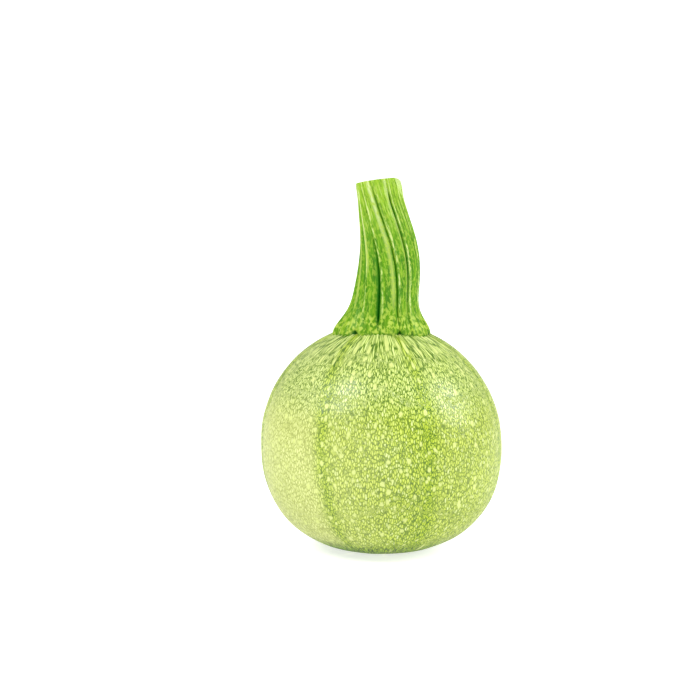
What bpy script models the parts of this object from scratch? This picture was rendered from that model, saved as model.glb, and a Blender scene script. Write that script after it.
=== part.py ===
"""Round zucchini with its cut stem, standing on its blossom end.

Metres, +Z up. The origin is under the middle of the fruit, on the surface it stands on,
and the front of the fruit faces -Y. Azimuths are degrees from the front, turning towards +X.
"""

import bisect
import math

import bmesh
import bpy
from mathutils import Vector

# Fruit: a near sphere, flattened underneath where it grew and stands
FRUIT_RADIUS = 0.0425
EQUATOR_HEIGHT = 0.0376
UPPER_HEIGHT = 0.0421
LOWER_HEIGHT = 0.0381
UPPER_FULLNESS = 2.0
LOWER_FULLNESS = 2.4
SHOULDER_LEAN = 0.0003
FRUIT_SEGMENTS = 84
FRUIT_RINGS = 42

# Shallow furrows that follow the darker stripes from the stem to the blossom end
STRIPE_AZIMUTHS = (-30, 24, 76, 128, 178, 229, 279)
RIB_DEPTH = 0.0005
FURROW_SHARPNESS = 0.7

# Blossom scar in the flat underneath, and the hidden seat under the stem
SCAR_RADIUS = 0.0050
SCAR_DEPTH = 0.0008
SCAR_SLOPE = 0.0008
BUTTON_RADIUS = 0.0028
BUTTON_SLOPE = 0.0005
BUTTON_RISE = 0.0004
SEAT_HEIGHT = 0.0784

# Stem: a tapered, twisted, furrowed shaft on a foot that spreads over the shoulder
STEM_BASE_HEIGHT = 0.0740
STEM_TOP_HEIGHT = 0.1335
SHAFT_RADIUS_LOW = 0.0119
SHAFT_RADIUS_TOP = 0.00625
SHAFT_TAPER_POWER = 2.0
TOP_FLARE = 0.00095
TOP_FLARE_HEIGHT = 0.0045
FOOT_SPREAD = 0.0054
FOOT_HEIGHT = 0.0069
FOOT_START_HEIGHT = 0.0759
FOOT_NARROWING_FRONT_TO_BACK = 0.75
BOW_TO_SIDE = 0.0033
LEAN_TO_SIDE = -0.0014
BOW_TO_BACK = 0.0010
TWIST_POWER = 1.5
STEM_LEVELS = 32
STEPS_PER_REED = 8
REED_ROUNDNESS = 0.55

# Each furrow of the stem: azimuth at the foot and at the top, in degrees, then in millimetres
# the height it starts at as a pit where the stem meets the skin, and its depth as that pit, on
# the foot, at the waist and at the top
FURROWS = (
    (-70, -114, 2.5, 0.8, 0.4, 1.0, 0.7),
    (-42, -88, 2.5, 2.6, 0.2, 0.8, 0.6),
    (-6, -65, 5.5, 0.2, 2.7, 2.8, 0.3),
    (29, -28, 2.5, 2.4, 0.2, 1.3, 0.9),
    (46, 18, 2.5, 0.8, 0.2, 0.8, 1.2),
    (80, 46, 2.5, 1.0, 0.4, 0.7, 0.6),
    (116, 74, 2.5, 1.6, 0.5, 1.6, 1.0),
    (150, 108, 2.5, 0.8, 0.4, 1.0, 0.7),
    (188, 144, 2.5, 2.0, 0.8, 2.0, 1.1),
    (222, 180, 2.5, 0.8, 0.4, 1.0, 0.8),
    (258, 214, 2.5, 1.6, 0.5, 1.8, 1.1),
)
FOOT_FURROW_HEIGHT = 0.0072

# Fraction of the stem's length from which the furrows have the depth they have at the top, and
# the share of it that they lose again where the stem flares at the cut
TOP_DEPTHS_FROM = 0.62
FURROW_LOSS_AT_CUT = 0.7

# Cut end: one knife cut that slants to the left and the back, then a chip off its right side
# and another off the corner this leaves, each a point on the break and the way it faces
CUT_HEIGHT = 0.1297
CUT_FALL_TO_LEFT = math.radians(7.5)
CUT_FALL_TO_BACK = math.radians(9.0)
CHIPS = (
    (Vector((0.0046, -0.0057, 0.1293)), Vector((0.923, -0.256, 0.289))),
    (Vector((0.0040, -0.0060, 0.1313)), Vector((0.706, -0.050, 0.706))),
)

# Clearance between the two solids where they grow together
GAP = 0.0003


def linear(hex_colour):
    """Linear RGBA from an sRGB hex colour."""
    channels = [int(hex_colour[i : i + 2], 16) / 255 for i in (1, 3, 5)]
    return [c / 12.92 if c <= 0.04045 else ((c + 0.055) / 1.055) ** 2.4 for c in channels] + [1.0]


def clear_scene():
    for obj in list(bpy.data.objects):
        bpy.data.objects.remove(obj, do_unlink=True)


def new_collection(name):
    collection = bpy.data.collections.new(name)
    bpy.context.scene.collection.children.link(collection)
    return collection


def plain_material(name, hex_colour, roughness):
    material = bpy.data.materials.new(name)
    material.use_nodes = True
    shader = material.node_tree.nodes["Principled BSDF"]
    shader.inputs["Base Color"].default_value = linear(hex_colour)
    shader.inputs["Roughness"].default_value = roughness
    shader.inputs["Metallic"].default_value = 0.0
    return material


def finish_object(bm, name, collection):
    """Turns a bmesh into an object with smooth round sides and sharp cut edges."""
    bmesh.ops.recalc_face_normals(bm, faces=bm.faces)
    mesh = bpy.data.meshes.new(name)
    bm.to_mesh(mesh)
    bm.free()
    mesh.shade_smooth()
    mesh.set_sharp_from_angle(angle=math.radians(40))
    obj = bpy.data.objects.new(name, mesh)
    collection.objects.link(obj)
    return obj


def arch_between(marks, value):
    """Which two marks of a full turn a value lies between, and how far along, from 0 to 1."""
    turned = marks[0] + (value - marks[0]) % 360
    low = bisect.bisect_right(marks, turned) - 1
    following = marks[low + 1] if low + 1 < len(marks) else marks[0] + 360
    return low, (turned - marks[low]) / (following - marks[low])


def fruit_skin(direction, grow=0.0):
    """The point of the fruit's skin in a direction from the middle of its equator."""
    across = math.hypot(direction.x, direction.y)
    upper = direction.z > 0
    height = UPPER_HEIGHT if upper else LOWER_HEIGHT
    fullness = UPPER_FULLNESS if upper else LOWER_FULLNESS
    distance = (
        (across / FRUIT_RADIUS) ** fullness + (abs(direction.z) / height) ** fullness
    ) ** (-1 / fullness)
    azimuth = math.degrees(math.atan2(direction.x, -direction.y))
    along = arch_between(STRIPE_AZIMUTHS, azimuth)[1]
    furrow = 1 - math.sin(math.pi * along) ** FURROW_SHARPNESS
    distance -= RIB_DEPTH * furrow * across**2
    distance -= 2 * SHOULDER_LEAN * direction.x * direction.z * across
    return direction * (distance + grow) + Vector((0, 0, EQUATOR_HEIGHT))


def cut_level(bm, height, keep_below):
    """Cuts a closed mesh at a height, closes it with one flat face, and returns that face."""
    cut = bmesh.ops.bisect_plane(
        bm,
        geom=bm.verts[:] + bm.edges[:] + bm.faces[:],
        plane_co=(0, 0, height),
        plane_no=(0, 0, 1),
        clear_outer=keep_below,
        clear_inner=not keep_below,
    )
    rim = [item for item in cut["geom_cut"] if isinstance(item, bmesh.types.BMEdge)]
    return bmesh.ops.contextual_create(bm, geom=rim)["faces"][0]


def fruit_bmesh(grow=0.0):
    """The fruit cut flat below and under the stem, and the flat face that it stands on."""
    bm = bmesh.new()
    bmesh.ops.create_uvsphere(bm, u_segments=FRUIT_SEGMENTS, v_segments=FRUIT_RINGS, radius=1)
    for vert in bm.verts:
        vert.co = fruit_skin(vert.co.normalized(), grow)
    cut_level(bm, SEAT_HEIGHT + grow, keep_below=True)
    flat = cut_level(bm, -grow, keep_below=False)
    return bm, flat


def ring_in(bm, face, radius, height):
    """Insets a face to a circle of a radius, at a height."""
    bmesh.ops.inset_region(bm, faces=[face], thickness=0)
    for vert in face.verts:
        vert.co.xy = vert.co.xy.normalized() * radius
        vert.co.z = height


def sink_scar(bm, flat):
    """Sinks the blossom scar into the flat underneath, with its corky button in the middle."""
    ring_in(bm, flat, SCAR_RADIUS, 0)
    ring_in(bm, flat, SCAR_RADIUS - SCAR_SLOPE, SCAR_DEPTH)
    ring_in(bm, flat, BUTTON_RADIUS, SCAR_DEPTH)
    ring_in(bm, flat, BUTTON_RADIUS - BUTTON_SLOPE, SCAR_DEPTH - BUTTON_RISE)


def centre_on_origin(obj):
    """Moves the mesh sideways so that its box is centred over the origin."""
    for axis in (0, 1):
        places = [vert.co[axis] for vert in obj.data.vertices]
        middle = (min(places) + max(places)) / 2
        for vert in obj.data.vertices:
            vert.co[axis] -= middle


def stem_centre(along):
    """Middle of the stem at a fraction of its length."""
    arch = math.sin(math.pi * along) ** 2
    return Vector(
        (
            BOW_TO_SIDE * arch + LEAN_TO_SIDE * along,
            BOW_TO_BACK * arch,
            STEM_BASE_HEIGHT + along * (STEM_TOP_HEIGHT - STEM_BASE_HEIGHT),
        )
    )


def furrow_azimuths(along):
    twist = along**TWIST_POWER
    return [foot + (top - foot) * twist for foot, top, *_ in FURROWS]


def flare_share(height):
    """How much of the flare at the cut a height has, from 0 to 1."""
    return math.exp(-(((CUT_HEIGHT - height) / TOP_FLARE_HEIGHT) ** 2))


def furrow_depths(along, height):
    """Depth of each furrow, in metres, blended from pit to foot to waist to top."""
    above = max(height - FOOT_START_HEIGHT, 0)
    foot_share = math.exp(-((above / FOOT_FURROW_HEIGHT) ** 2))
    top_share = min(along / TOP_DEPTHS_FROM, 1.0) ** 2
    kept_at_cut = 1 - FURROW_LOSS_AT_CUT * flare_share(height)
    depths = []
    for _, _, pit_height, pit, foot, waist, top in FURROWS:
        pit_share = math.exp(-((1000 * above / pit_height) ** 4))
        shaft = (waist + (top - waist) * top_share) * kept_at_cut
        depth = shaft + (foot - shaft) * foot_share
        depths.append((depth + (pit - depth) * pit_share) / 1000)
    return depths


def stem_radius(along, height, azimuth):
    """Radius over the reeds, without their furrows."""
    shaft = SHAFT_RADIUS_TOP + (SHAFT_RADIUS_LOW - SHAFT_RADIUS_TOP) * (1 - along**SHAFT_TAPER_POWER)
    shaft += TOP_FLARE * flare_share(height)
    above_foot = max(height - FOOT_START_HEIGHT, 0) / FOOT_HEIGHT
    narrowing = 1 - FOOT_NARROWING_FRONT_TO_BACK * math.cos(math.radians(azimuth)) ** 2
    return shaft + FOOT_SPREAD * narrowing * math.exp(-(above_foot**2))


def stem_surface(reed, step, along):
    """Point of the stem on one reed, a number of steps past the furrow that starts it."""
    centre = stem_centre(along)
    azimuths = furrow_azimuths(along)
    depths = furrow_depths(along, centre.z)
    after = (reed + 1) % len(FURROWS)
    span = (azimuths[after] - azimuths[reed]) % 360
    part = step / STEPS_PER_REED
    azimuth = azimuths[reed] + span * part
    depth = depths[reed] + (depths[after] - depths[reed]) * part
    hollow = 1 - math.sin(math.pi * part) ** REED_ROUNDNESS
    radius = stem_radius(along, centre.z, azimuth) - depth * hollow
    turn = math.radians(azimuth)
    return centre + radius * Vector((math.sin(turn), -math.cos(turn), 0))


def stem_bmesh():
    """A capped cylinder with a side for each step of each reed, shaped level by level."""
    sides = len(FURROWS) * STEPS_PER_REED
    bm = bmesh.new()
    bmesh.ops.create_cone(bm, cap_ends=True, segments=sides, radius1=1, radius2=1, depth=1)
    bmesh.ops.translate(bm, verts=bm.verts, vec=(0, 0, 0.5))
    upright = [edge for edge in bm.edges if abs(edge.verts[0].co.z - edge.verts[1].co.z) > 0.5]
    bmesh.ops.subdivide_edges(bm, edges=upright, cuts=STEM_LEVELS - 1)
    for vert in bm.verts:
        turn = math.atan2(vert.co.y, vert.co.x) / (2 * math.pi)
        side = round(turn * sides) % sides
        reed, step = divmod(side, STEPS_PER_REED)
        vert.co = stem_surface(reed, step, vert.co.z)
    return bm


def slice_stem(bm, point, facing):
    """Takes away what lies past a plane and closes the cut with a flat face."""
    cut = bmesh.ops.bisect_plane(
        bm,
        geom=bm.verts[:] + bm.edges[:] + bm.faces[:],
        plane_co=point,
        plane_no=facing,
        clear_outer=True,
    )
    rim = [item for item in cut["geom_cut"] if isinstance(item, bmesh.types.BMEdge)]
    bmesh.ops.contextual_create(bm, geom=rim)


def make_fruit(collection):
    bm, flat = fruit_bmesh()
    sink_scar(bm, flat)
    fruit = finish_object(bm, "fruit", collection)
    centre_on_origin(fruit)
    fruit.data.materials.append(plain_material("zucchini skin", "#C3D56C", 0.42))
    return fruit


def make_fruit_cutter(collection):
    """The fruit grown by the clearance, to shape the underside of the stem."""
    cutter = finish_object(fruit_bmesh(GAP)[0], "fruit_grown", collection)
    centre_on_origin(cutter)
    cutter.hide_render = True
    cutter.display_type = "WIRE"
    return cutter


def make_stem(collection, cutter):
    bm = stem_bmesh()
    cut_facing = Vector((-math.tan(CUT_FALL_TO_LEFT), math.tan(CUT_FALL_TO_BACK), 1))
    slice_stem(bm, Vector((0, 0, CUT_HEIGHT)), cut_facing.normalized())
    for point, facing in CHIPS:
        slice_stem(bm, point, facing)
    stem = finish_object(bm, "stem", collection)
    stem.data.materials.append(plain_material("zucchini stem", "#86B437", 0.5))
    fit = stem.modifiers.new("fit to fruit", "BOOLEAN")
    fit.operation = "DIFFERENCE"
    fit.solver = "EXACT"
    fit.object = cutter
    return stem


def main():
    clear_scene()
    parts = new_collection("round_zucchini")
    cutters = new_collection("cutters")
    make_fruit(parts)
    make_stem(parts, make_fruit_cutter(cutters))


main()
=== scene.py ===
"""Looks of the round zucchini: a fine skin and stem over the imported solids, their finishes,
a pale studio floor, soft light and the camera.

Metres, +Z up. The fruit stands on z = 0 and its front faces -Y. Azimuths are degrees from the
front, turning towards +X, and latitudes are degrees above the fruit's equator.
"""

import bisect
import math

import bmesh
import bpy
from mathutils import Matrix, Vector, noise


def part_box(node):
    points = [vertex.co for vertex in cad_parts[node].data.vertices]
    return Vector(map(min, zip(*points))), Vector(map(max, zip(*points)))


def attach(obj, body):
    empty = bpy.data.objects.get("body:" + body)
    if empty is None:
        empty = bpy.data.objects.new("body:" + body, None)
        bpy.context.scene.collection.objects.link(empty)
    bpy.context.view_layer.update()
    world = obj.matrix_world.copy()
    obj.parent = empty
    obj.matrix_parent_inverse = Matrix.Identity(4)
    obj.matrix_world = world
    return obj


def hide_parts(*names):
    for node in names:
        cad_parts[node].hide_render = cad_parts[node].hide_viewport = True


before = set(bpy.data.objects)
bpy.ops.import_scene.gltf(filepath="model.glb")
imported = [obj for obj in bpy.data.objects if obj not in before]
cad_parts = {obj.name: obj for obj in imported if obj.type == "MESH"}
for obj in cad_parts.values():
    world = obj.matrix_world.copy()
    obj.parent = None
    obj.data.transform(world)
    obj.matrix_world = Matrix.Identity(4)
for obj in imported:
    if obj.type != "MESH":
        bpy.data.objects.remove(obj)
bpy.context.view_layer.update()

# Fruit, with the solid's own driving dimensions
FRUIT_RADIUS = 0.0425
EQUATOR_HEIGHT = 0.0376
UPPER_HEIGHT = 0.0421
LOWER_HEIGHT = 0.0381
UPPER_FULLNESS = 2.0
LOWER_FULLNESS = 2.4
SHOULDER_LEAN = 0.0003
STRIPE_AZIMUTHS = (-30, 24, 76, 128, 178, 229, 279)
RIB_DEPTH = 0.0005
FURROW_SHARPNESS = 0.7
SCAR_RADIUS = 0.0050
SCAR_DEPTH = 0.0008
SCAR_SLOPE = 0.0008
BUTTON_RADIUS = 0.0028
BUTTON_SLOPE = 0.0005
BUTTON_RISE = 0.0004
SEAT_HEIGHT = 0.0784
FRUIT_MIDDLE = Vector((0, 0, EQUATOR_HEIGHT))

# What the fine skin adds to the solid's form. It dents where a noise from -1 to 1 is below a
# level. Its puckers wander sideways by up to so many radians of their wave, over that many waves
# of noise to the fruit's radius
SKIN_SEGMENTS = 400
SKIN_RINGS = 200
DENT_DEPTH = 0.00022
DENT_SPACING = 0.011
DENT_LEVEL = 0.1
PUCKER_DEPTH = 0.00016
PUCKER_COUNT = 52
PUCKER_LATITUDES = (48, 68)
PUCKER_WANDER = 2.5
PUCKER_WANDER_WAVES = 1.7

# The skin's pattern narrows towards both ends by steps, each a latitude and the pattern's width
# past it as a share of that at the equator. The steps wander up and down by up to so many
# degrees, over that many waves to the fruit's radius
STEPS_UP = ((30, 0.86), (51, 0.56))
STEPS_DOWN = ((26, 0.82), (46, 0.60))
STEP_WANDERS = ((8, 4), (5, 25))
# Beyond this share of the way to either end, the pattern is drawn out lengthwise by this share
DRAWN_OUT_FROM = 0.74
DRAWN_OUT_BY = 0.60

# Each stripe: how far it lies from its furrow at the equator, how far it leans sideways per degree
# of latitude, and how strong it is
STRIPES = (
    (1.2, -0.10, 0.75),
    (-1.5, -0.02, 0.80),
    (0.5, 0.04, 0.75),
    (-0.5, -0.05, 0.85),
    (1.0, 0.03, 0.70),
    (0.0, 0.06, 0.90),
    (-1.0, -0.04, 0.75),
)
STRIPE_HALF_WIDTH = 4.0
STRIPE_WANDER = 1.2
STRIPE_WANDER_WAVES = 6
# How pale the panel after each stripe is, at its start and at its end, and the shares of its
# width up to which and from which it blends with the panels beside it
PANEL_PALENESS = (
    (0.65, 0.0),
    (0.25, 0.40),
    (0.50, 0.25),
    (0.45, 0.10),
    (0.20, 0.50),
    (0.60, 0.40),
    (1.0, 1.0),
)
PANEL_BLENDS = (0.12, 0.80)
# How much brighter the net's cells grow over the shoulder, and between which latitudes
SHOULDER_BRIGHTNESS = (0.8, 12, 36)
# Latitudes between which the skin turns to streaks towards the stem, and to deep green towards
# the blossom end, partly the skin's own colour and partly painted shade where it rests on the floor
STREAK_LATITUDES = (52, 66)
BLOSSOM_END_LATITUDES = (-42, -58)

# Stem, with the solid's own driving dimensions
STEM_BASE_HEIGHT = 0.0740
STEM_TOP_HEIGHT = 0.1335
SHAFT_RADIUS_LOW = 0.0119
SHAFT_RADIUS_TOP = 0.00625
SHAFT_TAPER_POWER = 2.0
TOP_FLARE = 0.00095
TOP_FLARE_HEIGHT = 0.0045
FOOT_SPREAD = 0.0054
FOOT_HEIGHT = 0.0069
FOOT_START_HEIGHT = 0.0759
FOOT_NARROWING_FRONT_TO_BACK = 0.75
BOW_TO_SIDE = 0.0033
LEAN_TO_SIDE = -0.0014
BOW_TO_BACK = 0.0010
TWIST_POWER = 1.5
REED_ROUNDNESS = 0.55
# Each furrow: azimuth at the foot and at the top, then in mm the height it starts at as a pit
# where the stem meets the skin, and its depth as that pit, on the foot, at the waist and at the
# top
FURROWS = (
    (-70, -114, 2.5, 0.8, 0.4, 1.0, 0.7),
    (-42, -88, 2.5, 2.6, 0.2, 0.8, 0.6),
    (-6, -65, 5.5, 0.2, 2.7, 2.8, 0.3),
    (29, -28, 2.5, 2.4, 0.2, 1.3, 0.9),
    (46, 18, 2.5, 0.8, 0.2, 0.8, 1.2),
    (80, 46, 2.5, 1.0, 0.4, 0.7, 0.6),
    (116, 74, 2.5, 1.6, 0.5, 1.6, 1.0),
    (150, 108, 2.5, 0.8, 0.4, 1.0, 0.7),
    (188, 144, 2.5, 2.0, 0.8, 2.0, 1.1),
    (222, 180, 2.5, 0.8, 0.4, 1.0, 0.8),
    (258, 214, 2.5, 1.6, 0.5, 1.8, 1.1),
)
# Depth, in mm, from which a furrow's painted shade is as dark as it can be
DEEPEST_FURROW = 2.6
# Height over which the furrows' depths on the foot give way to those at the waist
FOOT_FURROW_HEIGHT = 0.0072
# Fraction of the stem's length from which the furrows have the depth they have at the top, and
# the share of it that they lose again where the stem flares at the cut
TOP_DEPTHS_FROM = 0.62
FURROW_LOSS_AT_CUT = 0.7
# How pale the crest of the reed after each furrow is, its place as a share of the reed's width,
# and the fraction of the stem's length it starts at
REED_CRESTS = (
    (0.80, 0.50, 0.0),
    (1.00, 0.30, 0.4),
    (0.78, 0.78, 0.0),
    (0.64, 0.88, 0.0),
    (0.20, 0.50, 0.0),
    (0.30, 0.60, 0.0),
    (0.50, 0.50, 0.0),
    (0.64, 0.40, 0.0),
    (0.40, 0.50, 0.0),
    (0.60, 0.60, 0.0),
    (0.50, 0.50, 0.0),
)
# How far a crest fades sideways, as a share of the reed's width, and how far below and above
# its start it fades in, as a fraction of the stem's length
CREST_WIDTH = 0.20
CREST_FADE = 0.1
# How much of the foot a point has where the crests start to pale, and where they are in full
CRESTS_ABOVE_FOOT = (0.6, 0.1)
# The cut at the top, and the planes that chip its right end: a point, and the way it faces
CUT_HEIGHT = 0.1297
CUT_FALL_TO_LEFT = math.radians(7.5)
CUT_FALL_TO_BACK = math.radians(9.0)
CHIPS = (
    (Vector((0.0046, -0.0057, 0.1293)), Vector((0.923, -0.256, 0.289))),
    (Vector((0.0040, -0.0060, 0.1313)), Vector((0.706, -0.050, 0.706))),
)

# What the fine stem adds to the solid's form
STEPS_PER_REED = 24
STEM_LEVELS = 170
STEM_SINK = 0.0008
FINE_RIDGE_HEIGHT = 0.00010
FINE_RIDGES_PER_REED = 4
# Rounds in which the skin's height over a point, and where the stem starts on it, settle
SKIN_ROUNDS = 4
START_ROUNDS = 6
START_GUESS = 0.04
# Height over which the shade in the crease where the stem meets the skin fades
CREASE_HEIGHT = 0.0005
# Rings of the dried middle of the cut: size as a share of the ring outside it, and how far it
# sinks below that
CUT_RINGS = ((0.86, 0.0), (0.55, 0.0003), (0.60, 0.0003))

# Which of a piece's two materials its bare places have, the blossom scar and the stem's cuts
BARE = 1
FLAT_TOLERANCE = 0.0001
SHARP_ANGLE = math.radians(50)
# The ground under the wax is matt. The wax's IOR is above real wax's 1.45, so that over a third of
# the skin it shines face-on about as real wax would all over, and much less at the edges
GROUND_ROUGHNESS = 0.6
WAX_IOR = 1.8

# Camera and the photograph's frame
PHOTO_PIXELS = 700
FRUIT_PIXELS = 242
FRUIT_MIDDLE_PIXEL = (381.4, 442.5)
CAMERA_DISTANCE = 0.9
CAMERA_ELEVATION = math.radians(8)
SENSOR_WIDTH = 36.0

# Each softbox: azimuth, elevation, then distance, width and height in metres, and watts
SOFTBOXES = {
    "left softbox": (-55, 47, 1.2, 0.32, 0.60, 11.0),
    "right softbox": (82, 33, 1.2, 0.42, 0.70, 12.0),
    "front softbox": (0, 7, 1.6, 1.60, 0.36, 5.5),
}
SURROUNDINGS_STRENGTH = 0.93
FLOOR_GLOW = 0.66
# How far the floor reaches to each side, so that its far edge lies above the photograph's frame
FLOOR_REACH = 60.0


def linear(hex_colour):
    """Linear RGBA from an sRGB hex colour."""
    channels = [int(hex_colour[i : i + 2], 16) / 255 for i in (1, 3, 5)]
    return [c / 12.92 if c <= 0.04045 else ((c + 0.055) / 1.055) ** 2.4 for c in channels] + [1.0]


def smooth(low, high, value):
    """0 below low, 1 above high, and a smooth step between."""
    share = min(max((value - low) / (high - low), 0.0), 1.0)
    return share * share * (3 - 2 * share)


def arch_between(marks, value):
    """Which two marks of a full turn a value lies between, and how far along, from 0 to 1."""
    turned = marks[0] + (value - marks[0]) % 360
    low = bisect.bisect_right(marks, turned) - 1
    following = marks[low + 1] if low + 1 < len(marks) else marks[0] + 360
    return low, (turned - marks[low]) / (following - marks[low])


def azimuth_of(direction):
    """Degrees from the front, turning towards +X."""
    return math.degrees(math.atan2(direction.x, -direction.y))


def latitude_of(direction):
    """Degrees above the equator, of a direction of length 1."""
    return math.degrees(math.asin(max(-1.0, min(1.0, direction.z))))


def fruit_form(direction):
    """The solid's skin: its point in a direction from the middle of the equator."""
    across = math.hypot(direction.x, direction.y)
    upper = direction.z > 0
    height = UPPER_HEIGHT if upper else LOWER_HEIGHT
    fullness = UPPER_FULLNESS if upper else LOWER_FULLNESS
    distance = (
        (across / FRUIT_RADIUS) ** fullness + (abs(direction.z) / height) ** fullness
    ) ** (-1 / fullness)
    along = arch_between(STRIPE_AZIMUTHS, azimuth_of(direction))[1]
    furrow = 1 - math.sin(math.pi * along) ** FURROW_SHARPNESS
    distance -= RIB_DEPTH * furrow * across**2
    distance -= 2 * SHOULDER_LEAN * direction.x * direction.z * across
    return direction * distance + FRUIT_MIDDLE


def fine_skin(direction):
    """The fine skin: the form with shallow dents, and puckers that gather it to the stem."""
    point = fruit_form(direction)
    dent = min(noise.noise(point / DENT_SPACING) - DENT_LEVEL, 0.0)
    turn = math.radians(azimuth_of(direction))
    gather = smooth(*PUCKER_LATITUDES, latitude_of(direction))
    around = Vector((math.sin(turn), math.cos(turn), 0))
    wander = PUCKER_WANDER * noise.noise(around * PUCKER_WANDER_WAVES)
    pucker = math.sin(PUCKER_COUNT * turn + wander) - 1
    return point + direction * (DENT_DEPTH * dent + PUCKER_DEPTH * gather * pucker)


def pattern_width(direction):
    """How wide the skin's pattern is in a direction, as a share of its width at the equator."""
    latitude = latitude_of(direction)
    wander = sum(most * noise.noise(direction * waves) for most, waves in STEP_WANDERS)
    width = 1.0
    for start, narrower in STEPS_UP if latitude > 0 else STEPS_DOWN:
        if abs(latitude) + wander > start:
            width = narrower
    return width


def pattern_place(direction):
    """Where a point lies in the skin's pattern, whose cells grow long towards both ends."""
    width = pattern_width(direction)
    turn = math.radians(azimuth_of(direction))
    beyond = max(abs(direction.z) - DRAWN_OUT_FROM, 0)
    rise = direction.z - math.copysign(DRAWN_OUT_BY * beyond, direction.z)
    return FRUIT_RADIUS * Vector((width * math.sin(turn), -width * math.cos(turn), rise))


def stripe_marks(latitude):
    """Azimuth of the middle of each stripe at a latitude."""
    stripes = zip(STRIPE_AZIMUTHS, STRIPES)
    return [furrow + shift + lean * latitude for furrow, (shift, lean, _) in stripes]


def stripe_share(direction):
    """How much a point belongs to one of the dark stripes, from 0 to 1."""
    wander = STRIPE_WANDER * noise.noise(direction * STRIPE_WANDER_WAVES)
    marks = stripe_marks(latitude_of(direction))
    low, along = arch_between(marks, azimuth_of(direction) + wander)
    after = (low + 1) % len(marks)
    span = (marks[after] - marks[low]) % 360
    return max(
        STRIPES[low][2] * math.exp(-((along * span / STRIPE_HALF_WIDTH) ** 2)),
        STRIPES[after][2] * math.exp(-(((1 - along) * span / STRIPE_HALF_WIDTH) ** 2)),
    )


def panel_paleness(direction):
    """How pale a point is, from 0 to 1, with a soft change from each panel to the next."""
    low, along = arch_between(stripe_marks(latitude_of(direction)), azimuth_of(direction))
    start, end = PANEL_PALENESS[low]
    last = PANEL_PALENESS[low - 1][1]
    following = PANEL_PALENESS[(low + 1) % len(PANEL_PALENESS)][0]
    blends_until, blends_from = PANEL_BLENDS
    paleness = start + (end - start) * along
    paleness += (last - start) / 2 * smooth(blends_until, 0.0, along)
    paleness += (following - end) / 2 * smooth(blends_from, 1.0, along)
    return paleness


def shoulder_brightness(latitude):
    """How much brighter the net's cells are at a latitude, up to 1 where they are streaks."""
    bright, start, end = SHOULDER_BRIGHTNESS
    shoulder = bright * smooth(start, end, latitude)
    return shoulder + (1 - shoulder) * smooth(*STREAK_LATITUDES, latitude)


def cut_off(bm, point, facing):
    """Takes away what lies past a plane, closes the cut with one flat face, and returns it."""
    cut = bmesh.ops.bisect_plane(
        bm,
        geom=bm.verts[:] + bm.edges[:] + bm.faces[:],
        plane_co=point,
        plane_no=facing,
        clear_outer=True,
    )
    pale_rim_and_highlight = [item for item in cut["geom_cut"] if isinstance(item, bmesh.types.BMEdge)]
    return bmesh.ops.contextual_create(bm, geom=pale_rim_and_highlight)["faces"][0]


def ring_in(bm, face, radius, height):
    """Insets a face to a circle of a radius, at a height."""
    bmesh.ops.inset_region(bm, faces=[face], thickness=0)
    for vert in face.verts:
        vert.co.xy = vert.co.xy.normalized() * radius
        vert.co.z = height


def sink_scar(bm, flat):
    """Sinks the blossom scar into the flat underneath, with its corky button in the middle."""
    ring_in(bm, flat, SCAR_RADIUS, 0)
    ring_in(bm, flat, SCAR_RADIUS - SCAR_SLOPE, SCAR_DEPTH)
    ring_in(bm, flat, BUTTON_RADIUS, SCAR_DEPTH)
    ring_in(bm, flat, BUTTON_RADIUS - BUTTON_SLOPE, SCAR_DEPTH - BUTTON_RISE)


def centre_on_solid(bm, node):
    """Moves a mesh sideways so that its box has the same middle as a node's."""
    low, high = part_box(node)
    for axis in (0, 1):
        places = [vert.co[axis] for vert in bm.verts]
        shift = (low[axis] + high[axis] - min(places) - max(places)) / 2
        for vert in bm.verts:
            vert.co[axis] += shift


def finish_piece(bm, name, materials, node):
    """Turns a bmesh into a finished piece that stands for a solid and rides on the root body."""
    bmesh.ops.recalc_face_normals(bm, faces=bm.faces)
    mesh = bpy.data.meshes.new(name)
    bm.to_mesh(mesh)
    bm.free()
    mesh.shade_smooth()
    mesh.set_sharp_from_angle(angle=SHARP_ANGLE)
    for material in materials:
        mesh.materials.append(material)
    piece = bpy.data.objects.new(name, mesh)
    bpy.context.scene.collection.objects.link(piece)
    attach(piece, "root")
    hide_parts(node)


def make_fruit_skin():
    """The fine skin, with what its material has to know at each point."""
    bm = bmesh.new()
    bmesh.ops.create_uvsphere(bm, u_segments=SKIN_SEGMENTS, v_segments=SKIN_RINGS, radius=1)
    place = bm.verts.layers.float_vector.new("pattern_place")
    stripe = bm.verts.layers.float.new("stripe")
    pale = bm.verts.layers.float.new("pale")
    near_stem = bm.verts.layers.float.new("near_stem")
    blossom_green_and_shade = bm.verts.layers.float.new("blossom_green_and_shade")
    for vert in bm.verts:
        direction = vert.co.normalized()
        latitude = latitude_of(direction)
        vert[place] = pattern_place(direction)
        vert[stripe] = stripe_share(direction)
        vert[pale] = panel_paleness(direction)
        vert[near_stem] = shoulder_brightness(latitude)
        # Deep green towards the blossom end: partly the skin's own colour, partly painted shade
        vert[blossom_green_and_shade] = smooth(*BLOSSOM_END_LATITUDES, latitude)
        vert.co = fine_skin(direction)
    cut_off(bm, (0, 0, SEAT_HEIGHT), (0, 0, 1))
    flat = cut_off(bm, (0, 0, 0), (0, 0, -1))
    sink_scar(bm, flat)
    for face in bm.faces:
        middle = face.calc_center_median()
        if middle.z < SCAR_DEPTH + FLAT_TOLERANCE and middle.xy.length < SCAR_RADIUS:
            face.material_index = BARE
    centre_on_solid(bm, "fruit")
    finish_piece(bm, "fruit_skin", [zucchini_skin(), corky_blossom_scar()], "fruit")


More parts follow.
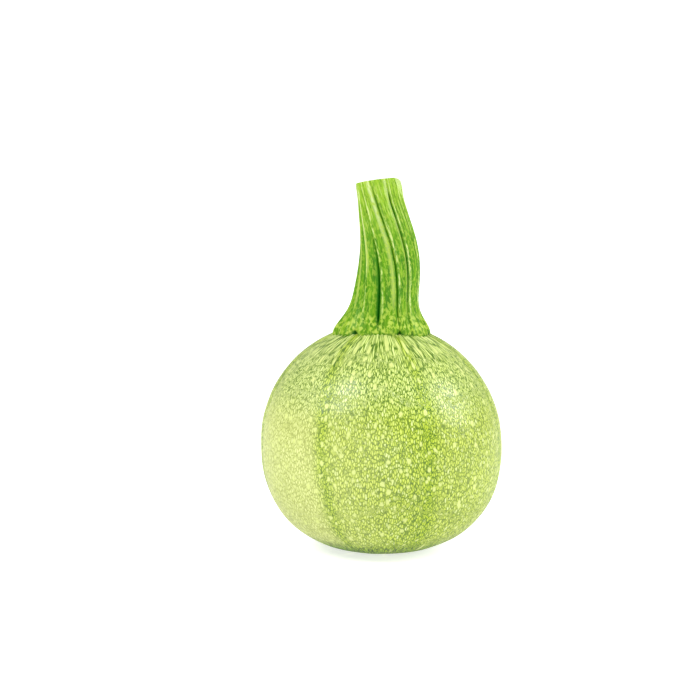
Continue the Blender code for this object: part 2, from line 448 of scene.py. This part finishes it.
def stem_centre(along):
    """Middle of the stem at a fraction of its length."""
    arch = math.sin(math.pi * along) ** 2
    return Vector(
        (
            BOW_TO_SIDE * arch + LEAN_TO_SIDE * along,
            BOW_TO_BACK * arch,
            STEM_BASE_HEIGHT + along * (STEM_TOP_HEIGHT - STEM_BASE_HEIGHT),
        )
    )


def furrow_azimuths(along):
    """Azimuth of each furrow at a fraction of the stem's length."""
    twist = along**TWIST_POWER
    return [foot + (top - foot) * twist for foot, top, *_ in FURROWS]


def flare_share(height):
    """How much of the flare at the cut a height has, from 0 to 1."""
    return math.exp(-(((CUT_HEIGHT - height) / TOP_FLARE_HEIGHT) ** 2))


def furrow_depths(along, height):
    """Depth of each furrow, in metres, blended from pit to foot to waist to top."""
    above = max(height - FOOT_START_HEIGHT, 0)
    foot_share = math.exp(-((above / FOOT_FURROW_HEIGHT) ** 2))
    top_share = min(along / TOP_DEPTHS_FROM, 1.0) ** 2
    kept_at_cut = 1 - FURROW_LOSS_AT_CUT * flare_share(height)
    depths = []
    for _, _, pit_height, pit, foot, waist, top in FURROWS:
        pit_share = math.exp(-((1000 * above / pit_height) ** 4))
        shaft = (waist + (top - waist) * top_share) * kept_at_cut
        depth = shaft + (foot - shaft) * foot_share
        depths.append((depth + (pit - depth) * pit_share) / 1000)
    return depths


def stem_radius(along, height, azimuth):
    """Radius over the reeds, without their furrows."""
    shaft = SHAFT_RADIUS_TOP + (SHAFT_RADIUS_LOW - SHAFT_RADIUS_TOP) * (1 - along**SHAFT_TAPER_POWER)
    shaft += TOP_FLARE * flare_share(height)
    above_foot = max(height - FOOT_START_HEIGHT, 0) / FOOT_HEIGHT
    narrowing = 1 - FOOT_NARROWING_FRONT_TO_BACK * math.cos(math.radians(azimuth)) ** 2
    return shaft + FOOT_SPREAD * narrowing * math.exp(-(above_foot**2))


def stem_surface(reed, step, along):
    """Point of the stem on a reed, some steps past the furrow that starts it; how near it lies
    to the bottom of a furrow, from 0 to 1, below 0 on the reed's far side; and how near it lies
    weighed by the furrow's depth."""
    centre = stem_centre(along)
    azimuths = furrow_azimuths(along)
    depths = furrow_depths(along, centre.z)
    after = (reed + 1) % len(FURROWS)
    span = (azimuths[after] - azimuths[reed]) % 360
    part = step / STEPS_PER_REED
    azimuth = azimuths[reed] + span * part
    depth = depths[reed] + (depths[after] - depths[reed]) * part
    hollow = 1 - math.sin(math.pi * part) ** REED_ROUNDNESS
    fine = math.cos(2 * math.pi * FINE_RIDGES_PER_REED * part + reed) - 1
    radius = stem_radius(along, centre.z, azimuth) - depth * hollow + FINE_RIDGE_HEIGHT * fine
    turn = math.radians(azimuth)
    point = centre + radius * Vector((math.sin(turn), -math.cos(turn), 0))
    flank = math.copysign(hollow, 0.5 - part)
    furrow = hollow * min(1.0, 1000 * depth / DEEPEST_FURROW)
    return point, flank, furrow


def skin_height(x, y):
    """Height of the fruit's shoulder over a point, to which a few rounds settle."""
    height = UPPER_HEIGHT
    for _ in range(SKIN_ROUNDS):
        direction = Vector((x, y, height)).normalized()
        distance = (fruit_form(direction) - FRUIT_MIDDLE).length
        height = math.sqrt(distance**2 - x**2 - y**2)
    return EQUATOR_HEIGHT + height


def stem_start(reed, step):
    """Fraction of the stem's length at which a line up the stem leaves the fruit's skin, to which
    a few rounds settle."""
    along = START_GUESS
    for _ in range(START_ROUNDS):
        point = stem_surface(reed, step, along)[0]
        height = skin_height(point.x, point.y)
        along = (height - STEM_BASE_HEIGHT) / (STEM_TOP_HEIGHT - STEM_BASE_HEIGHT)
    return along


def dish_cut(bm):
    """Sinks the soft middle of the top cut, the largest bare face, a little, as it dries."""
    bare_faces = [face for face in bm.faces if face.material_index == BARE]
    cut = max(bare_faces, key=lambda face: face.calc_area())
    middle = cut.calc_center_median()
    for share, sink in CUT_RINGS:
        bmesh.ops.inset_region(bm, faces=[cut], thickness=0)
        for vert in cut.verts:
            vert.co.xy = middle.xy + (vert.co.xy - middle.xy) * share
            vert.co.z = middle.z + (vert.co.z - middle.z) * share - sink
        middle.z -= sink


def make_stem_skin():
    """The fine stem, with what its material has to know at each point. Its pattern lies as if the
    reeds ran straight up a plain cylinder, so that it follows them."""
    sides = len(FURROWS) * STEPS_PER_REED
    length = STEM_TOP_HEIGHT - STEM_BASE_HEIGHT
    bm = bmesh.new()
    bmesh.ops.create_cone(bm, cap_ends=True, segments=sides, radius1=1, radius2=1, depth=1)
    bmesh.ops.translate(bm, verts=bm.verts, vec=(0, 0, 0.5))
    upright = [edge for edge in bm.edges if abs(edge.verts[0].co.z - edge.verts[1].co.z) > 0.5]
    bmesh.ops.subdivide_edges(bm, edges=upright, cuts=STEM_LEVELS - 1)
    reeds = bm.verts.layers.float_vector.new("reeds")
    flank = bm.verts.layers.float.new("flank")
    furrow = bm.verts.layers.float.new("furrow")
    foot = bm.verts.layers.float.new("foot")
    crest = bm.verts.layers.float.new("crest")
    crease = bm.verts.layers.float.new("crease")
    starts = [stem_start(*divmod(side, STEPS_PER_REED)) for side in range(sides)]
    for vert in bm.verts:
        side = round(math.atan2(vert.co.y, vert.co.x) / (2 * math.pi) * sides) % sides
        along = starts[side] - STEM_SINK / length
        along += (1 - along) * vert.co.z
        reed, step = divmod(side, STEPS_PER_REED)
        vert.co, vert[flank], vert[furrow] = stem_surface(reed, step, along)
        around = 2 * math.pi * side / sides
        spread = SHAFT_RADIUS_LOW * Vector((math.cos(around), math.sin(around), 0))
        vert[reeds] = spread + Vector((0, 0, vert.co.z))
        above = max((along - starts[side]) * length, 0)
        vert[foot] = math.exp(-above / FOOT_HEIGHT)
        vert[crease] = math.exp(-above / CREASE_HEIGHT)
        paleness, place, start = REED_CRESTS[reed]
        off_crest = (step / STEPS_PER_REED - place) / CREST_WIDTH
        paleness *= smooth(*CRESTS_ABOVE_FOOT, vert[foot])
        paleness *= smooth(start - CREST_FADE, start + CREST_FADE, along)
        vert[crest] = paleness * math.exp(-(off_crest**2))
    cut_facing = Vector((-math.tan(CUT_FALL_TO_LEFT), math.tan(CUT_FALL_TO_BACK), 1))
    for point, facing in ((Vector((0, 0, CUT_HEIGHT)), cut_facing.normalized()), *CHIPS):
        cut_off(bm, point, facing).material_index = BARE
    dish_cut(bm)
    finish_piece(bm, "stem_skin", [zucchini_stem(), cut_stem_flesh()], "stem")


def add(tree, kind, inputs=(), result=0, **settings):
    """Adds a shader node and gives one of its results. Its inputs come in order, or as a dict by
    name or place, and each is a value or the result of another node."""
    node = tree.nodes.new("ShaderNode" + kind)
    for name, value in settings.items():
        setattr(node, name, value)
    by_place = inputs if isinstance(inputs, dict) else dict(enumerate(inputs))
    for key, value in by_place.items():
        if isinstance(value, bpy.types.NodeSocket):
            tree.links.new(value, node.inputs[key])
        else:
            node.inputs[key].default_value = value
    return node.outputs[result]


# Where Blender's Mix node has its share, its two colours and the mixed colour
SHARE, UNDER, OVER, MIXED = 0, 6, 7, 2


def new_material(name):
    """A new material, its node tree and its shader."""
    material = bpy.data.materials.new(name)
    material.use_nodes = True
    tree = material.node_tree
    return material, tree, tree.nodes["Principled BSDF"]


def painted(tree, ground, coats):
    """A colour with coats over it, each a share from 0 to 1 and the colour it paints, which is a
    hex value or a node's result."""
    for share, colour in coats:
        paint = colour if isinstance(colour, bpy.types.NodeSocket) else linear(colour)
        mix = {SHARE: share, UNDER: ground, OVER: paint}
        ground = add(tree, "Mix", mix, MIXED, data_type="RGBA")
    return ground


def wax_over(shader, share, roughness):
    """Leaves a matt surface with a thin wax over a share of it, for a satin without white edges."""
    shader.inputs["Roughness"].default_value = GROUND_ROUGHNESS
    shader.inputs["Specular IOR Level"].default_value = 0.0
    shader.inputs["Coat Weight"].default_value = share
    shader.inputs["Coat Roughness"].default_value = roughness
    shader.inputs["Coat IOR"].default_value = WAX_IOR


def grown_cells(tree, place, size, wobble_size, wobble):
    """Pattern coordinates that count one for each cell of a size in metres, wobbled by a noise of
    another size so that the cells look grown."""
    noise_inputs = {"Vector": place, "Scale": 1 / wobble_size, "Detail": 2.0}
    cloud = add(tree, "TexNoise", noise_inputs, "Color")
    shift = add(tree, "VectorMath", (cloud, (0.5, 0.5, 0.5)), operation="SUBTRACT")
    shift = add(tree, "VectorMath", {0: shift, "Scale": wobble}, operation="SCALE")
    moved = add(tree, "VectorMath", (place, shift), operation="ADD")
    counts = [1 / side for side in size]
    return add(tree, "VectorMath", (moved, counts), operation="MULTIPLY")


def zucchini_skin():
    """Waxy skin as it grew: a fine darker net, cream flecks, and stripes where the ribs meet.

    It gives the eye a satin yellow-green with soft highlights, busy close up and even far off.
    """
    material, tree, shader = new_material("waxy zucchini skin")
    place = add(tree, "Attribute", (), "Vector", attribute_name="pattern_place")
    stripe = add(tree, "Attribute", (), "Fac", attribute_name="stripe")
    pale = add(tree, "Attribute", (), "Fac", attribute_name="pale")
    near_stem = add(tree, "Attribute", (), "Fac", attribute_name="near_stem")
    blossom_green_and_shade = add(tree, "Attribute", (), "Fac", attribute_name="blossom_green_and_shade")
    soft = {"interpolation_type": "SMOOTHSTEP"}

    # Net: pale cells 0.7 mm wide and 1.6 mm tall, yellower towards their edges, with green lines
    # between, fainter in places. Some of the cells are cream, as each one's random colour says
    cells = grown_cells(tree, place, (0.0007, 0.0007, 0.0016), 0.0010, 0.00046)
    net = {"Vector": cells, "Scale": 1.0}
    edge = add(tree, "TexVoronoi", net, feature="DISTANCE_TO_EDGE")
    line = add(tree, "MapRange", (edge, 0.03, 0.19, 1.0, 0.0), **soft)
    gaps = add(tree, "TexNoise", {"Vector": place, "Scale": 1 / 0.0008, "Detail": 1.0})
    gaps = add(tree, "MapRange", (gaps, 0.30, 0.54, 0.7, 1.0), **soft)
    line = add(tree, "Math", (line, gaps), operation="MULTIPLY")
    margin = add(tree, "MapRange", (edge, 0.10, 0.38, 0.9, 0.0), **soft)
    even = add(tree, "Math", (pale, near_stem), operation="MAXIMUM")
    even = add(tree, "MapRange", (even, 0.0, 1.0, 1.0, 0.4))
    margin = add(tree, "Math", (margin, even), operation="MULTIPLY")
    cream = add(tree, "TexVoronoi", net, "Color", feature="F1")
    cream = add(tree, "SeparateColor", (cream,))
    cream = add(tree, "MapRange", (cream, 0.5, 1.0, 0.0, 1.0), **soft)

    # Flecks: cream spots of up to 2 mm with a green ring, one in each 2.3 by 2.9 mm or so
    spacing = grown_cells(tree, place, (0.0023, 0.0023, 0.0029), 0.0011, 0.0011)
    spot = add(tree, "TexVoronoi", {"Vector": spacing, "Scale": 1.0}, feature="F1")
    size = add(tree, "SeparateColor", (spot.node.outputs["Color"],))
    reach = add(tree, "MapRange", (size, 0.0, 1.0, 0.08, 0.44))
    past = add(tree, "Math", (spot, reach), operation="SUBTRACT")
    fleck = add(tree, "MapRange", (past, -0.20, 0.04, 1.0, 0.0), **soft)
    inside_ring = add(tree, "MapRange", (past, -0.01, 0.04, 0.0, 0.5), **soft)
    outside_ring = add(tree, "MapRange", (past, 0.05, 0.14, 1.0, 0.0), **soft)
    ring = add(tree, "Math", (inside_ring, outside_ring), operation="MULTIPLY")
    line = add(tree, "Math", (line, ring), operation="MAXIMUM")

    # Towards the blossom end both colours turn deep green: the skin's own colour and painted shade
    dark = painted(tree, linear("#3F5D00"), (
        (pale, "#868E4B"),
        (near_stem, "#3A5C08"),
        (stripe, "#355900"),
        (blossom_green_and_shade, "#1E4200"),
    ))
    light = painted(tree, linear("#A7B547"), (
        (cream, "#B5BF8B"),
        (pale, "#B8BE7E"),
        (near_stem, "#B2C077"),
        (stripe, "#95A821"),
        (blossom_green_and_shade, "#5E8806"),
    ))
    skin = painted(tree, light, (
        (margin, "#97AB12"),
        (line, dark),
        (fleck, "#AFB96C"),
    ))
    tree.links.new(skin, shader.inputs["Base Color"])

    relief = add(tree, "Math", (fleck, line), operation="SUBTRACT")
    bump = add(tree, "Bump", {"Height": relief, "Strength": 0.4, "Distance": 0.00008})
    tree.links.new(bump, shader.inputs["Normal"])
    tree.links.new(bump, shader.inputs["Coat Normal"])
    wax_over(shader, 0.36, 0.28)
    return material


def corky_blossom_scar():
    """Dry cork where the blossom dropped off: matt, brown and finely cracked."""
    material, tree, shader = new_material("corky blossom scar")
    place = add(tree, "TexCoord", (), "Object")
    grain = add(tree, "TexNoise", {"Vector": place, "Scale": 1 / 0.0006, "Detail": 5.0})
    tone = add(tree, "MapRange", (grain, 0.3, 0.7, 0.0, 1.0), interpolation_type="SMOOTHSTEP")
    cork = painted(tree, linear("#8C7746"), ((tone, "#C9B98A"),))
    tree.links.new(cork, shader.inputs["Base Color"])
    shader.inputs["Roughness"].default_value = 0.85
    bump = {"Height": grain, "Strength": 0.6, "Distance": 0.0002}
    tree.links.new(add(tree, "Bump", bump), shader.inputs["Normal"])
    return material


def zucchini_stem():
    """Fresh ridged stalk: pale fibres along the reeds, with whitish rims that are partly painted
    highlight, deep green in the furrows that is partly painted shade, and yellower with pale flecks
    on the foot. It gives the eye long bright lines on leaf green."""
    material, tree, shader = new_material("fresh zucchini stem")
    place = add(tree, "Attribute", (), "Vector", attribute_name="reeds")
    flank = add(tree, "Attribute", (), "Fac", attribute_name="flank")
    furrow = add(tree, "Attribute", (), "Fac", attribute_name="furrow")
    foot = add(tree, "Attribute", (), "Fac", attribute_name="foot")
    crest = add(tree, "Attribute", (), "Fac", attribute_name="crest")
    crease = add(tree, "Attribute", (), "Fac", attribute_name="crease")
    soft = {"interpolation_type": "SMOOTHSTEP"}
    height = add(tree, "SeparateXYZ", (place,), "Z")
    near_top = add(tree, "MapRange", (height, 0.104, 0.128, 0.0, 0.9), **soft)
    on_foot = add(tree, "MapRange", (foot, 0.16, 0.55, 0.0, 1.0), **soft)

    # Bands 2.2 mm wide, and fibres 0.8 mm wide and 6 mm long, that follow the reeds
    bands = grown_cells(tree, place, (0.0022, 0.0022, 0.009), 0.006, 0.0008)
    patch = add(tree, "TexNoise", {"Vector": bands, "Scale": 1.0, "Detail": 1.0})
    band = add(tree, "MapRange", (patch, 0.38, 0.62, 0.0, 1.0), **soft)
    streaks = grown_cells(tree, place, (0.0008, 0.0008, 0.006), 0.004, 0.0005)
    fibre = add(tree, "TexNoise", {"Vector": streaks, "Scale": 1.0, "Detail": 3.0})
    pale_fibre = add(tree, "MapRange", (fibre, 0.54, 0.66, 0.0, 0.6), **soft)
    dark_fibre = add(tree, "MapRange", (fibre, 0.36, 0.50, 0.6, 0.0), **soft)

    # Mottle: pale grains of 0.8 by 1.5 mm, thickest on the foot, the pale crests and the furrows'
    # rims.
    # A whitish line runs along each rim on one side of its furrow, partly a paler line in the stalk
    # and partly a painted highlight, broken by the fibres and the grains
    grains = grown_cells(tree, place, (0.0008, 0.0008, 0.0015), 0.0012, 0.0006)
    speckle = add(tree, "TexNoise", {"Vector": grains, "Scale": 1.0, "Detail": 2.0})
    grain = add(tree, "MapRange", (speckle, 0.48, 0.62, 0.0, 1.0), **soft)
    rim_inside = add(tree, "MapRange", (flank, 0.12, 0.26, 0.0, 1.0), **soft)
    rim_outside = add(tree, "MapRange", (flank, 0.36, 0.54, 1.0, 0.0), **soft)
    pale_rim_and_highlight = add(tree, "Math", (rim_inside, rim_outside), operation="MULTIPLY")
    mottle_reach = add(tree, "Math", (pale_rim_and_highlight, crest), operation="MAXIMUM")
    mottle_reach = add(tree, "Math", (mottle_reach, on_foot), operation="MAXIMUM")
    mottle_reach = add(tree, "MapRange", (mottle_reach, 0.0, 1.0, 0.5, 0.9))
    mottle = add(tree, "Math", (grain, mottle_reach), operation="MULTIPLY")
    pale_crest = add(tree, "MapRange", (crest, 0.3, 1.0, 0.0, 0.75), **soft)
    broken = add(tree, "MapRange", (fibre, 0.46, 0.58, 0.1, 1.0), **soft)
    beads = add(tree, "MapRange", (speckle, 0.40, 0.54, 0.3, 1.0), **soft)
    pale_rim_and_highlight = add(tree, "Math", (pale_rim_and_highlight, broken), operation="MULTIPLY")
    pale_rim_and_highlight = add(tree, "Math", (pale_rim_and_highlight, beads), operation="MULTIPLY")
    off_foot = add(tree, "MapRange", (on_foot, 0.0, 1.0, 1.0, 0.1))
    pale_rim_and_highlight = add(tree, "Math", (pale_rim_and_highlight, off_foot), operation="MULTIPLY")

    # Flecks: pale spots of about 1 mm on the foot, one in each 1.5 by 1.9 mm or so
    spacing = grown_cells(tree, place, (0.0015, 0.0015, 0.0019), 0.0009, 0.0013)
    spot = add(tree, "TexVoronoi", {"Vector": spacing, "Scale": 1.0}, feature="F1")
    fleck = add(tree, "MapRange", (spot, 0.26, 0.48, 1.0, 0.0), **soft)
    fleck = add(tree, "Math", (fleck, on_foot), operation="MULTIPLY")

    # Furrows: green along their sides, partly the stalk's own colour and partly painted shade, and
    # darker by patches; painted shade, very dark where they are deepest and in pits at the skin
    shade = add(tree, "MapRange", (patch, 0.40, 0.60, 0.95, 0.25), **soft)
    side = add(tree, "MapRange", (furrow, 0.08, 0.36, 0.0, 1.0), **soft)
    side = add(tree, "Math", (side, shade), operation="MULTIPLY")
    side = add(tree, "Math", (side, off_foot), operation="MULTIPLY")
    deep = add(tree, "MapRange", (furrow, 0.24, 0.64, 0.0, 1.0), **soft)
    at_skin = add(tree, "MapRange", (crease, 0.02, 0.10, 0.0, 1.0), **soft)
    pit = add(tree, "MapRange", (furrow, 0.10, 0.40, 0.0, 1.0), **soft)
    pit = add(tree, "Math", (pit, at_skin), operation="MULTIPLY")
    shaded_crease = add(tree, "MapRange", (crease, 0.25, 0.8, 0.0, 0.7), **soft)
    shaded_crease = add(tree, "Math", (shaded_crease, shade), operation="MULTIPLY")

    # Fibres and crests are whiter near the top
    fibre_colour = painted(tree, linear("#7F9F24"), ((near_top, "#AEBD6E"),))
    crest_colour = painted(tree, linear("#A2AE5A"), ((near_top, "#C4CC9A"),))
    # The furrows' sides are partly, and their deep parts, pits and crease wholly, painted shade
    stalk = painted(tree, linear("#387000"), (
        (band, "#4C7D00"),
        (near_top, "#789C20"),
        (on_foot, "#4B7800"),
        (dark_fibre, "#305E00"),
        (pale_fibre, fibre_colour),
        (pale_crest, crest_colour),
        (mottle, "#8AA233"),
        # Whitish rims: a paler line in the stalk, partly painted highlight
        (pale_rim_and_highlight, "#AAB870"),
        (fleck, "#90A53E"),
        (side, "#2E6B00"),
        (deep, "#1C650F"),
        (pit, "#16510A"),
        (shaded_crease, "#275507"),
    ))
    tree.links.new(stalk, shader.inputs["Base Color"])

    bump = add(tree, "Bump", {"Height": fibre, "Strength": 0.6, "Distance": 0.0002})
    tree.links.new(bump, shader.inputs["Normal"])
    tree.links.new(bump, shader.inputs["Coat Normal"])
    wax_over(shader, 0.14, 0.4)
    return material


def cut_stem_flesh():
    """Knife-cut stalk: moist flesh, a little paler than the stalk's skin and finely grained."""
    material, tree, shader = new_material("cut stem flesh")
    place = add(tree, "TexCoord", (), "Object")
    grain = add(tree, "TexNoise", {"Vector": place, "Scale": 1 / 0.0008, "Detail": 4.0})
    tone = add(tree, "MapRange", (grain, 0.35, 0.65, 0.0, 1.0), interpolation_type="SMOOTHSTEP")
    flesh = painted(tree, linear("#86A434"), ((tone, "#A0B65E"),))
    tree.links.new(flesh, shader.inputs["Base Color"])
    shader.inputs["Roughness"].default_value = 0.5
    bump = {"Height": grain, "Strength": 0.4, "Distance": 0.0002}
    tree.links.new(add(tree, "Bump", bump), shader.inputs["Normal"])
    return material


def make_floor():
    """A wide floor of matt opal acrylic lit from below. It looks white, and its light keeps the
    shadow small and soft."""
    bm = bmesh.new()
    bmesh.ops.create_grid(bm, x_segments=1, y_segments=1, size=FLOOR_REACH)
    mesh = bpy.data.meshes.new("floor")
    bm.to_mesh(mesh)
    bm.free()
    material, _, shader = new_material("matt opal acrylic")
    shader.inputs["Base Color"].default_value = linear("#DADADA")
    shader.inputs["Roughness"].default_value = 0.9
    shader.inputs["Specular IOR Level"].default_value = 0.1
    shader.inputs["Emission Color"].default_value = linear("#FFFFFF")
    shader.inputs["Emission Strength"].default_value = FLOOR_GLOW
    mesh.materials.append(material)
    floor = bpy.data.objects.new("floor", mesh)
    bpy.context.scene.collection.objects.link(floor)


def make_softboxes():
    """Soft studio lights that face the middle of the fruit."""
    for name, (azimuth, elevation, distance, width, height, watts) in SOFTBOXES.items():
        turn, rise = math.radians(azimuth), math.radians(elevation)
        level = Vector((math.sin(turn), -math.cos(turn), 0)) * math.cos(rise)
        towards = level + Vector((0, 0, math.sin(rise)))
        light = bpy.data.lights.new(name, "AREA")
        light.shape = "RECTANGLE"
        light.size = width
        light.size_y = height
        light.energy = watts
        box = bpy.data.objects.new(name, light)
        box.location = FRUIT_MIDDLE + towards * distance
        box.rotation_euler = towards.to_track_quat("Z", "Y").to_euler()
        bpy.context.scene.collection.objects.link(box)


def make_surroundings():
    """A white studio all round, shown in plain sRGB."""
    scene = bpy.context.scene
    world = bpy.data.worlds.new("white studio")
    world.use_nodes = True
    surroundings = world.node_tree.nodes["Background"]
    surroundings.inputs["Color"].default_value = linear("#FFFFFF")
    surroundings.inputs["Strength"].default_value = SURROUNDINGS_STRENGTH
    scene.world = world
    scene.view_settings.view_transform = "Standard"


def make_camera():
    """A camera in front, a little above the fruit, framed as the photograph is."""
    metres_per_pixel = 2 * FRUIT_RADIUS / FRUIT_PIXELS
    away = Vector((0, -math.cos(CAMERA_ELEVATION), math.sin(CAMERA_ELEVATION)))
    up = Vector((0, math.sin(CAMERA_ELEVATION), math.cos(CAMERA_ELEVATION)))
    right = Vector((1, 0, 0))
    across = (PHOTO_PIXELS / 2 - FRUIT_MIDDLE_PIXEL[0]) * metres_per_pixel
    above = (FRUIT_MIDDLE_PIXEL[1] - PHOTO_PIXELS / 2) * metres_per_pixel
    data = bpy.data.cameras.new("camera")
    data.sensor_width = SENSOR_WIDTH
    data.lens = SENSOR_WIDTH * CAMERA_DISTANCE / (PHOTO_PIXELS * metres_per_pixel)
    camera = bpy.data.objects.new("camera", data)
    camera.location = FRUIT_MIDDLE + right * across + up * above + away * CAMERA_DISTANCE
    camera.rotation_euler = away.to_track_quat("Z", "Y").to_euler()
    bpy.context.scene.collection.objects.link(camera)
    bpy.context.scene.camera = camera


make_camera()
make_surroundings()
make_softboxes()
make_floor()
make_fruit_skin()
make_stem_skin()
